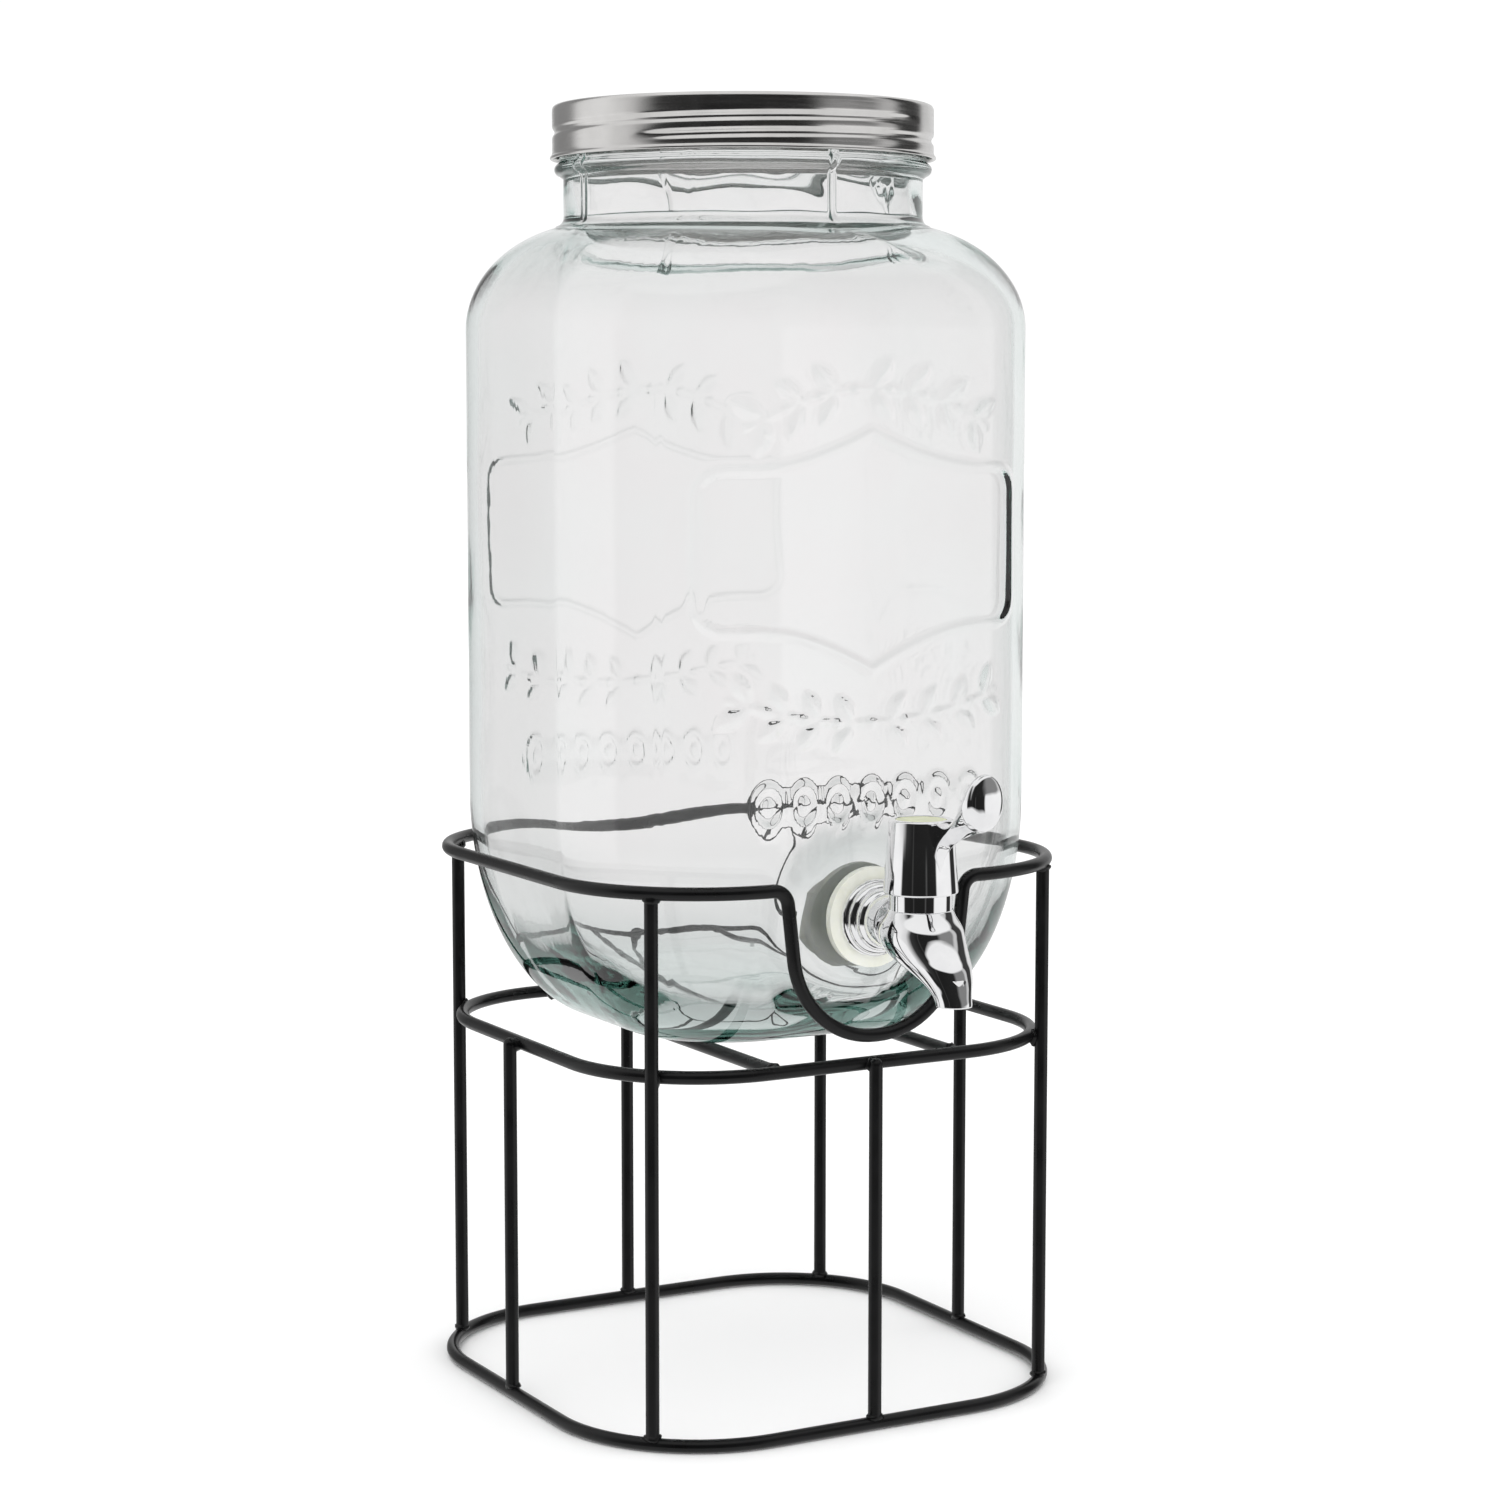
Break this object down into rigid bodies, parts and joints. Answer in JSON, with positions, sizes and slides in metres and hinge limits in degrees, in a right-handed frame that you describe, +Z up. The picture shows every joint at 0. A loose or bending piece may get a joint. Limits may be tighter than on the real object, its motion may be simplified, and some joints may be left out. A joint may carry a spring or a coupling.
{
  "type": "beverage dispenser",
  "caption": "Square-shouldered glass jar with a screw lid and a quarter-turn lever tap, resting in a tall welded wire stand with a notch for the tap.",
  "frame": {"origin": "middle of the stand's base ring, on the surface it rests on", "axes": "+Z up, -Y towards the tap, +X to the right of someone facing the tap"},
  "size_m": [0.205, 0.277, 0.487],
  "materials": {
    "black_powder_coat": "satin black powder coat",
    "recycled_glass": "clear glass, faint green in thick parts",
    "chrome_plate": "polished",
    "clear_silicone": "translucent satin",
    "white_seal": "matte",
    "white_plastic": "satin",
    "natural_plastic": "satin",
    "black_rubber": "satin",
    "spring_steel": "bright",
    "zinc_steel": "bright",
    "pale_green_plastic": "gloss",
    "tinplate": "bright tinplate, faint brushing",
    "liner_rubber": "matte"
  },
  "bodies": {
    "stand": {"base_ring": "black_powder_coat", "middle_ring": "black_powder_coat", "top_ring": "black_powder_coat", "corner_leg_front_left": "black_powder_coat", "corner_leg_front_right": "black_powder_coat", "corner_leg_back_left": "black_powder_coat", "corner_leg_back_right": "black_powder_coat", "short_leg_front": "black_powder_coat", "short_leg_back": "black_powder_coat", "short_leg_left": "black_powder_coat", "short_leg_right": "black_powder_coat", "support_bar_left": "black_powder_coat", "support_bar_right": "black_powder_coat"},
    "jar": {"jar_bowl": "recycled_glass", "jar_wall": "recycled_glass", "jar_shoulder": "recycled_glass", "jar_neck": "recycled_glass", "tap_body": "chrome_plate", "tap_outer_washer": "clear_silicone", "tap_inner_washer": "white_seal", "tap_lock_nut": "white_plastic"},
    "tap_lever": {"tap_handle": "chrome_plate", "tap_plug": "natural_plastic", "tap_o_rings": "black_rubber", "tap_retaining_clip": "spring_steel", "tap_handle_screw": "zinc_steel", "tap_cover_disc": "pale_green_plastic"},
    "liner": {"lid_liner": "liner_rubber"},
    "lid": {"lid_shell": "tinplate"}
  },
  "joints": [
    {"name": "jar_lift", "type": "slide", "parent": "stand", "child": "jar", "axis": [0, 0, 1], "range_m": [0, 0.15]},
    {"name": "tap_turn", "type": "hinge", "parent": "jar", "child": "tap_lever", "pos_m": [0, -0.13, 0.1905], "axis": [0, 0, 1], "range_deg": [0, 90]},
    {"name": "lid_rise", "type": "slide", "parent": "jar", "child": "liner", "axis": [0, 0, 1], "range_m": [0, 0.0091]},
    {"name": "lid_turn", "type": "hinge", "parent": "liner", "child": "lid", "pos_m": [0, 0, 0.48], "axis": [0, 0, 1], "range_deg": [0, 540]}
  ],
  "couplings": [
    {"joint": "lid_rise", "follows": "lid_turn", "m_per_rad": 0.00095493}
  ]
}
